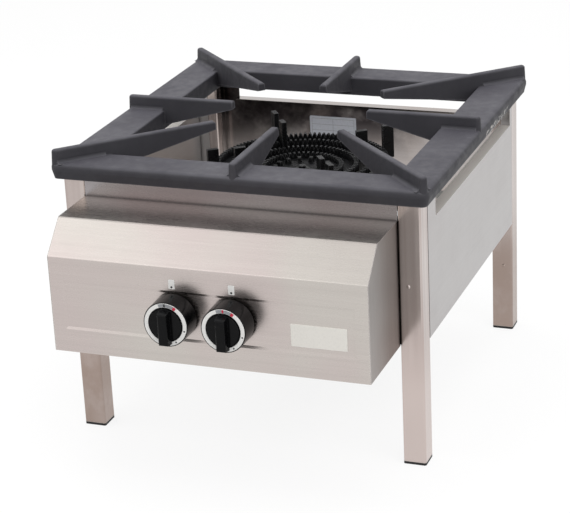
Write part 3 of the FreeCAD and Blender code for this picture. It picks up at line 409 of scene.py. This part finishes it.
def printed(name, color, rough=0.35):
    material, tree, shader = newFinish(name, color, 0.0, rough)
    film = cloud(tree, *printWear["film"])
    uneven = ranged(tree, film, *printWear["filmRange"])
    shade = mixColor(tree, uneven, color, shaded(color, printWear["filmShade"]))
    tree.links.new(shade, shader.inputs["Base Color"])
    spread = (rough + shift for shift in printWear["roughSpread"])
    tree.links.new(ranged(tree, film, *printWear["roughRange"], *spread), shader.inputs["Roughness"])
    relief(tree, shader, film, *printWear["bump"])
    return material


finishes = {
    "boxSteel": brushedSteel("boxSteel", steelLook["box"]),
    "cheekSteel": brushedSteel("cheekSteel", steelLook["cheek"]),
    "railSteel": brushedSteel("railSteel", steelLook["rail"]),
    "sideSteel": brushedSteel("sideSteel", steelLook["side"]),
    "rearSteel": brushedSteel("rearSteel", steelLook["rear"], shadedInside=True),
    "legSteel": brushedSteel("legSteel", steelLook["leg"]),
    "grateIron": castIron("grateIron", castLook["grate"], chipped=True),
    "burnerIron": castIron("burnerIron", castLook["burner"]),
    "footPlastic": moulded("footPlastic", plasticLook["foot"]),
    "knobPlastic": moulded("knobPlastic", plasticLook["knob"]),
    "dialWhite": printed("dialWhite", (0.96, 0.95, 0.93)),
    "brass": turnedMetal("brass"),
    "castAluminium": turnedMetal("castAluminium"),
    "zincSteel": turnedMetal("zincSteel")}

# the first start of a name that fits gives the finish
nodeFinishes = {
    "control_box_cheek": "cheekSteel", "control_box": "boxSteel", "front_rail": "railSteel",
    "side_panel": "sideSteel", "rear_panel": "rearSteel", "front_panel": "rearSteel", "leg_cap": "railSteel",
    "leg_": "legSteel", "foot_cap": "footPlastic", "pot_grate": "grateIron", "burner_bearer": "zincSteel",
    "burner_": "burnerIron", "knob": "knobPlastic", "dial_ring": "dialWhite", "tap_stem": "zincSteel",
    "tap_": "brass", "jet": "brass", "gas_inlet": "brass", "pilot_burner": "brass",
    "mixing_tube": "castAluminium", "air_shutter": "castAluminium", "feed_pipe": "zincSteel",
    "gas_": "zincSteel", "pilot_bracket": "zincSteel", "flame_probe": "zincSteel"}
for name in nodes:
    match = next(start for start in nodeFinishes if name.startswith(start))
    mesh = nodes[name].data
    mesh.materials.clear()
    mesh.materials.append(finishes[nodeFinishes[match]])
print("finishes on the frame")


def newPiece(name, build, material, body):
    mesh = bpy.data.meshes.new(name)
    shape = bmesh.new()
    build(shape)
    bmesh.ops.recalc_face_normals(shape, faces=shape.faces)
    shape.to_mesh(mesh)
    shape.free()
    mesh.materials.append(material)
    piece = bpy.data.objects.new(name, mesh)
    bpy.context.scene.collection.objects.link(piece)
    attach(piece, body)
    return piece


rayStart = 0.02  # how far off a surface the line starts that finds it
sameLevel = 1e-6


def surfacePoint(name, start, direction):
    # where a line from start first meets a node of the frame
    mesh = nodes[name].data
    tree = BVHTree.FromPolygons([corner.co for corner in mesh.vertices],
                                [face.vertices for face in mesh.polygons])
    return tree.ray_cast(Vector(start), Vector(direction))[0]


def prism(shape, outline, thick):
    # a flat outline in x and z, given at its back face, made thick towards the front
    back = [shape.verts.new(point) for point in outline]
    face = shape.faces.new(back)
    grown = bmesh.ops.extrude_face_region(shape, geom=[face])
    front = [part for part in grown["geom"] if isinstance(part, bmesh.types.BMVert)]
    bmesh.ops.translate(shape, verts=front, vec=(0, -thick, 0))


def softPrism(shape, outline, thick, edge):
    prism(shape, outline, thick)
    level = min(corner.co.y for corner in shape.verts)
    rim = [line for line in shape.edges if all(abs(end.co.y - level) < sameLevel for end in line.verts)]
    bmesh.ops.bevel(shape, geom=rim, offset=edge, segments=2, affect="EDGES")


def roundedOutline(centre, width, height, corner, steps=5):
    outline = []
    for quarter, (sx, sz) in enumerate(((1, 1), (-1, 1), (-1, -1), (1, -1))):
        for step in range(steps + 1):
            angle = math.pi / 2 * (quarter + step / steps)
            across = sx * (width / 2 - corner) + corner * math.cos(angle)
            upward = sz * (height / 2 - corner) + corner * math.sin(angle)
            outline.append(centre + Vector((across, 0, upward)))
    return outline


def discOutline(centre, radius, steps=24):
    turn = 2 * math.pi / steps
    return [centre + Vector((radius * math.cos(turn * step), 0, radius * math.sin(turn * step)))
            for step in range(steps)]


def sectorOutline(centre, inner, outer, middle, half, steps=8):
    # middle and half in degrees, clockwise from the top as the cook sees it
    outline = []
    for radius, order in ((inner, 1), (outer, -1)):
        for step in range(steps + 1):
            angle = math.radians(middle + order * (2 * step / steps - 1) * half)
            outline.append(centre + Vector((radius * math.sin(angle), 0, radius * math.cos(angle))))
    return outline


def lathed(shape, base, outward, profile, steps=20):
    # turn a profile of (height, radius) pairs about a line through base; a radius of 0 closes it
    outward = Vector(outward).normalized()
    aside = outward.orthogonal().normalized()
    other = outward.cross(aside)
    rings = []
    for height, radius in profile:
        middle = Vector(base) + outward * height
        if radius == 0:
            rings.append([shape.verts.new(middle)])
            continue
        ring = []
        for step in range(steps):
            turn = 2 * math.pi * step / steps
            out = aside * math.cos(turn) + other * math.sin(turn)
            ring.append(shape.verts.new(middle + radius * out))
        rings.append(ring)
    for lower, upper in zip(rings, rings[1:]):
        for step in range(steps):
            after = (step + 1) % steps
            corners = [lower[step % len(lower)], lower[after % len(lower)], upper[after % len(upper)],
                       upper[step % len(upper)]]
            shape.faces.new(list(dict.fromkeys(corners)))


blackInk = printed("blackInk", (0.012, 0.012, 0.012))
redInk = printed("redInk", (0.6, 0.015, 0.05))
# grey for the plate's rules, and for the painted reflection at the top of each dial
greyInkAndReflection = printed("greyInkAndReflection", (0.33, 0.34, 0.36))
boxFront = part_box("control_box_cover")[0].y

# small white labels with a dot, above the knobs
indexLabel = {"width": 0.0095, "height": 0.0145, "corner": 0.0012, "thick": 0.0004, "dot": 0.0016,
              "dotDrop": 0.0042, "level": 0.315, "left": -0.0501, "right": 0.0416}
for side in sides:
    centre = Vector((indexLabel[side], boxFront, indexLabel["level"]))
    outline = roundedOutline(centre, indexLabel["width"], indexLabel["height"], indexLabel["corner"])
    newPiece("index_label_" + side, lambda shape: prism(shape, outline, indexLabel["thick"]),
             finishes["dialWhite"], "range_frame")
    spot = discOutline(centre - Vector((0, indexLabel["thick"], indexLabel["dotDrop"])), indexLabel["dot"])
    newPiece("index_dot_" + side, lambda shape: prism(shape, spot, indexLabel["thick"] / 2),
             blackInk, "range_frame")

# printed ring of each dial: each mark has its ink, its place and its half width in degrees; the grey sector
# at the top is a painted reflection
dialMarks = {
    "thick": 0.00015, "inner": 0.0272, "outer": 0.0319,
    "left": (("greyReflection", greyInkAndReflection, 8, 26), ("black", blackInk, 0, 2.5), ("red", redInk, 30, 4)),
    "right": (("greyReflection", greyInkAndReflection, 8, 26), ("redTop", redInk, 2, 2.5), ("red", redInk, 30, 4)),
    "dots": (105, 150), "dotRadius": 0.0013}
for side in sides:
    low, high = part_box("dial_ring_" + side)
    centre = Vector(((low.x + high.x) / 2, low.y, (low.z + high.z) / 2))
    for order, (mark, ink, middle, half) in enumerate(dialMarks[side]):
        lift = Vector((0, -dialMarks["thick"] * order, 0))
        outline = sectorOutline(centre + lift, dialMarks["inner"], dialMarks["outer"], middle, half)
        newPiece(f"dial_{mark}_{side}", lambda shape: prism(shape, outline, dialMarks["thick"]),
                 ink, "knob_" + side)
    ringMiddle = (dialMarks["inner"] + dialMarks["outer"]) / 2
    for number, angle in enumerate(dialMarks["dots"]):
        turn = math.radians(angle)
        middle = centre + ringMiddle * Vector((math.sin(turn), 0, math.cos(turn)))
        spot = discOutline(middle, dialMarks["dotRadius"])
        newPiece(f"dial_dot_{number}_{side}", lambda shape: prism(shape, spot, dialMarks["thick"]),
                 blackInk, "knob_" + side)
print("marks on the dials and index labels")

# plain badge plate on the pressed field
badge = {"x": 0.1697, "z": 0.2551, "width": 0.084, "height": 0.0345, "corner": 0.0012, "thick": 0.0005,
         "color": (0.93, 0.9, 0.84)}
spot = surfacePoint("control_box_cover", (badge["x"], boxFront - rayStart, badge["z"]), (0, 1, 0))
outline = roundedOutline(spot, badge["width"], badge["height"], badge["corner"])
newPiece("badge_plate", lambda shape: softPrism(shape, outline, badge["thick"], badge["thick"] / 2),
         printed("badgeWhite", badge["color"], 0.3), "range_frame")

# data plate with empty ruled fields, inside the rear panel
dataPlate = {"x": -0.044, "z": 0.325, "width": 0.084, "height": 0.050, "corner": 0.002, "thick": 0.0006,
             "color": (0.62, 0.64, 0.7), "insideRear": 0.2}
rules = {"count": 5, "width": 0.0006, "margin": 0.004, "gap": 0.001, "corner": 0.0001, "thick": 0.0001}
spot = surfacePoint("rear_panel", (dataPlate["x"], dataPlate["insideRear"], dataPlate["z"]), (0, 1, 0))
outline = roundedOutline(spot, dataPlate["width"], dataPlate["height"], dataPlate["corner"])
newPiece("data_plate", lambda shape: softPrism(shape, outline, dataPlate["thick"], dataPlate["thick"] / 2),
         printed("plateSilver", dataPlate["color"], 0.3), "range_frame")


def ruledFields(shape):
    ruled = Vector((spot.x, spot.y - dataPlate["thick"], spot.z))
    wide = dataPlate["width"] - 2 * rules["margin"]
    tall = dataPlate["height"] - 2 * rules["margin"]
    for number in range(rules["count"]):
        centre = ruled + Vector((0, 0, tall * (number / (rules["count"] - 1) - 0.5)))
        prism(shape, roundedOutline(centre, wide, rules["width"], rules["corner"], 1), rules["thick"])
    for across in (-wide / 2, 0, wide / 2):
        centre = ruled + Vector((across, 0, 0))
        line = roundedOutline(centre, rules["width"], tall - rules["gap"], rules["corner"], 1)
        prism(shape, line, rules["thick"])


newPiece("data_plate_rules", ruledFields, greyInkAndReflection, "range_frame")

# small domed rivets in the front faces of the legs
rivets = {"radius": 0.0028, "height": 0.0013, "sink": 0.0002,
          "dome": ((0.35, 1), (0.8, 0.72), (1, 0.35)),  # shares of height and radius
          "front": (0.2594, -0.1928, 0.2857), "rear": (0.2652, 0.3322, 0.116)}


def rivetHead(shape, base, outward):
    radius, height, sink = rivets["radius"], rivets["height"], rivets["sink"]
    dome = [(height * up, radius * out) for up, out in rivets["dome"]]
    lathed(shape, base, outward, [(-sink, 0), (-sink, radius), *dome, (height, 0)])


for end in ("front", "rear"):
    for side, sign in (("left", -1), ("right", 1)):
        x, y, z = rivets[end]
        spot = surfacePoint(f"leg_{end}_{side}", (sign * x, y - rayStart, z), (0, 1, 0))
        newPiece(f"rivet_{end}_{side}", lambda shape: rivetHead(shape, spot, (0, -1, 0)),
                 finishes["legSteel"], "range_frame")

# ring of cast lugs on the inner head, and the bolt that holds its middle
innerLugs = {"count": 14, "ring": 0.043, "deep": 0.009, "wide": 0.0075, "tall": 0.0085, "sink": 0.0005,
             "shoulder": (0.8, 0.81), "top": (1, 0.63)}  # shares of the height and of the foot
middleBolt = {"radius": 0.0065, "tall": 0.005, "washer": 0.0095, "washerShare": 0.25, "sink": 0.0002,
              "chamfer": 0.0006, "chamferShare": 0.8, "washerSteps": 28, "sides": 6}
burnerLow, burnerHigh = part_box("burner_inner_head")
burnerMiddle = (burnerLow + burnerHigh) / 2


def innerHeadTop(x, y):
    return surfacePoint("burner_inner_head", (x, y, burnerHigh.z + rayStart), (0, 0, -1))


def lugRing(shape):
    tall = innerLugs["tall"]
    levels = [(-innerLugs["sink"], 1)]
    levels += [(tall * up, share) for up, share in (innerLugs["shoulder"], innerLugs["top"])]
    for number in range(innerLugs["count"]):
        turn = 2 * math.pi * (number + 0.5) / innerLugs["count"]
        out = Vector((math.cos(turn), math.sin(turn), 0))
        aside = Vector((-math.sin(turn), math.cos(turn), 0))
        above = burnerMiddle + out * innerLugs["ring"]
        foot = innerHeadTop(above.x, above.y)
        rows = []
        for level, share in levels:
            deep, wide = innerLugs["deep"] / 2 * share, innerLugs["wide"] / 2 * share
            rows.append([shape.verts.new(foot + Vector((0, 0, level)) + out * a * deep + aside * b * wide)
                         for a, b in ((-1, -1), (1, -1), (1, 1), (-1, 1))])
        for lower, upper in zip(rows, rows[1:]):
            for corner in range(4):
                after = (corner + 1) % 4
                shape.faces.new((lower[corner], lower[after], upper[after], upper[corner]))
        shape.faces.new(rows[0])
        shape.faces.new(rows[-1])


def boltHead(shape):
    foot = innerHeadTop(burnerMiddle.x, burnerMiddle.y)
    radius, tall, washer, sink = (middleBolt[part] for part in ("radius", "tall", "washer", "sink"))
    rise, top = tall * middleBolt["washerShare"], tall + middleBolt["chamfer"]
    ring = ((-sink, 0), (-sink, washer), (rise, washer), (rise, 0))
    lathed(shape, foot, (0, 0, 1), ring, middleBolt["washerSteps"])
    narrow = radius * middleBolt["chamferShare"]
    head = ((rise - sink, 0), (rise - sink, radius), (tall, radius), (top, narrow), (top, 0))
    lathed(shape, foot, (0, 0, 1), head, middleBolt["sides"])


newPiece("inner_head_lugs", lugRing, finishes["burnerIron"], "inner_head")
newPiece("inner_head_bolt", boltHead, finishes["burnerIron"], "inner_head")

# pipe thread on the gas inlet
inletThread = {"pitch": 0.001814, "ridge": 0.0005, "steps": 32, "clear": 0.0015, "sink": 0.00015,
               "length": 0.0135, "halfRidge": 0.45, "endRing": 0.0095}


def threadRidge(shape):
    pitch, clear, sink = inletThread["pitch"], inletThread["clear"], inletThread["sink"]
    low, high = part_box("gas_inlet")
    across, level = (low.x + high.x) / 2, (low.z + high.z) / 2
    end = surfacePoint("gas_inlet", (across + inletThread["endRing"], high.y + rayStart, level), (0, -1, 0)).y
    outer = surfacePoint("gas_inlet", (across + rayStart, end - clear, level), (-1, 0, 0)).x - across
    start = end - inletThread["length"] + clear * 2
    count = int((end - clear - start) / pitch * inletThread["steps"])
    ridge = ((-inletThread["halfRidge"], outer - sink), (0, outer + inletThread["ridge"]),
             (inletThread["halfRidge"], outer - sink))
    last = None
    for step in range(count + 1):
        angle = 2 * math.pi * step / inletThread["steps"]
        along = start + pitch * step / inletThread["steps"]
        section = [shape.verts.new((across + radius * math.cos(angle), along + shift * pitch,
                                    level + radius * math.sin(angle))) for shift, radius in ridge]
        if last:
            for corner in range(3):
                after = (corner + 1) % 3
                shape.faces.new((last[corner], last[after], section[after], section[corner]))
        if step in (0, count):
            shape.faces.new(section)
        last = section


newPiece("gas_inlet_thread", threadRidge, finishes["brass"], "range_frame")
print("plates, rivets and thread")


def seenPath(tree):
    path = put(tree, "ShaderNodeLightPath")
    seen = arithmetic(tree, "ADD", path.outputs["Is Camera Ray"], path.outputs["Is Glossy Ray"])
    return arithmetic(tree, "ADD", seen, path.outputs["Is Transmission Ray"])


def whiteToSight(material, share, color):
    # the camera and mirror-like surfaces see this surface nearly white, with its shadow kept
    tree = material.node_tree
    output = tree.nodes["Material Output"]
    shader = tree.nodes["Principled BSDF"]
    seen = seenPath(tree)
    tree.links.new(mixColor(tree, seen, color, (1.0, 1.0, 1.0)), shader.inputs["Base Color"])
    glow = put(tree, "ShaderNodeEmission")
    mixing = put(tree, "ShaderNodeMixShader")
    tree.links.new(both(tree, seen, share), mixing.inputs["Fac"])
    tree.links.new(shader.outputs["BSDF"], mixing.inputs[1])
    tree.links.new(glow.outputs["Emission"], mixing.inputs[2])
    tree.links.new(mixing.outputs["Shader"], output.inputs["Surface"])


floor = {"size": 24.0, "color": (0.42, 0.42, 0.42), "rough": 0.9, "whiteShare": 0.85}
floorMesh = bpy.data.meshes.new("floor")
shape = bmesh.new()
bmesh.ops.create_grid(shape, x_segments=1, y_segments=1, size=floor["size"] / 2)
shape.to_mesh(floorMesh)
shape.free()
floorPaint = newFinish("floorPaint", floor["color"], 0.0, floor["rough"])[0]
whiteToSight(floorPaint, floor["whiteShare"], floor["color"])
floorMesh.materials.append(floorPaint)
floorObject = bpy.data.objects.new("floor", floorMesh)
bpy.context.scene.collection.objects.link(floorObject)

# soft sky: dim at the horizon, brighter overhead; the camera and glossy surfaces see plain white
studio = {"horizon": 0.24, "overhead": 0.74, "rise": (-0.1, 1.0), "seenWhite": 1.0}
world = bpy.data.worlds.new("studio")
bpy.context.scene.world = world
world.use_nodes = True
worldTree = world.node_tree
backdrop = worldTree.nodes["Background"]
setInputs(backdrop, Color=(1, 1, 1, 1))
sky = put(worldTree, "ShaderNodeSeparateXYZ")
worldTree.links.new(put(worldTree, "ShaderNodeTexCoord").outputs["Generated"], sky.inputs["Vector"])
lit = ranged(worldTree, sky.outputs["Z"], *studio["rise"], studio["horizon"], studio["overhead"])
strength = put(worldTree, "ShaderNodeMix", data_type="FLOAT")
worldTree.links.new(seenPath(worldTree), strength.inputs["Factor"])
worldTree.links.new(lit, strength.inputs["A"])
strength.inputs["B"].default_value = studio["seenWhite"]
worldTree.links.new(strength.outputs["Result"], backdrop.inputs["Strength"])

lamps = {"key": {"place": (2.2, -2.0, 2.9), "size": 3.7, "power": 64, "mirrored": True},
         "fill": {"place": (-2.8, -2.0, 2.4), "size": 4.0, "power": 36, "mirrored": True},
         "top": {"place": (-0.2, 0.5, 3.2), "size": 2.6, "power": 48, "mirrored": False}}
middle = (cadBox[0] + cadBox[1]) / 2
for name, lamp in lamps.items():
    light = bpy.data.lights.new(name, "AREA")
    light.size = lamp["size"]
    light.energy = lamp["power"]
    lampObject = bpy.data.objects.new(name, light)
    lampObject.location = lamp["place"]
    lampObject.visible_glossy = lamp["mirrored"]
    aim = middle - Vector(lamp["place"])
    lampObject.rotation_euler = aim.to_track_quat("-Z", "Y").to_euler()
    bpy.context.scene.collection.objects.link(lampObject)

# the photograph's own angle: place in metres, turns in degrees, lens and sensor in millimetres
cameraView = {"place": (1.05236, -2.72836, 1.37392), "yaw": -21.15, "down": 21.27, "roll": -2.81,
              "lens": 125.8, "sensor": 36, "near": 0.1, "far": 100}
yaw, down, roll = (math.radians(cameraView[angle]) for angle in ("yaw", "down", "roll"))
ahead = Vector((math.sin(yaw) * math.cos(down), math.cos(yaw) * math.cos(down), -math.sin(down)))
across = Vector((math.cos(yaw), -math.sin(yaw), 0))
upward = across.cross(ahead)
rightWay = math.cos(roll) * across + math.sin(roll) * upward
topWay = -math.sin(roll) * across + math.cos(roll) * upward
lens = bpy.data.cameras.new("camera")
lens.lens = cameraView["lens"]
lens.sensor_width = cameraView["sensor"]
lens.clip_start = cameraView["near"]
lens.clip_end = cameraView["far"]
camera = bpy.data.objects.new("camera", lens)
turned = Matrix((rightWay, topWay, -ahead)).transposed().to_4x4()
camera.matrix_world = Matrix.Translation(cameraView["place"]) @ turned
bpy.context.scene.collection.objects.link(camera)
bpy.context.scene.camera = camera
bpy.context.scene.view_settings.view_transform = "Standard"
print("floor, lights and camera")
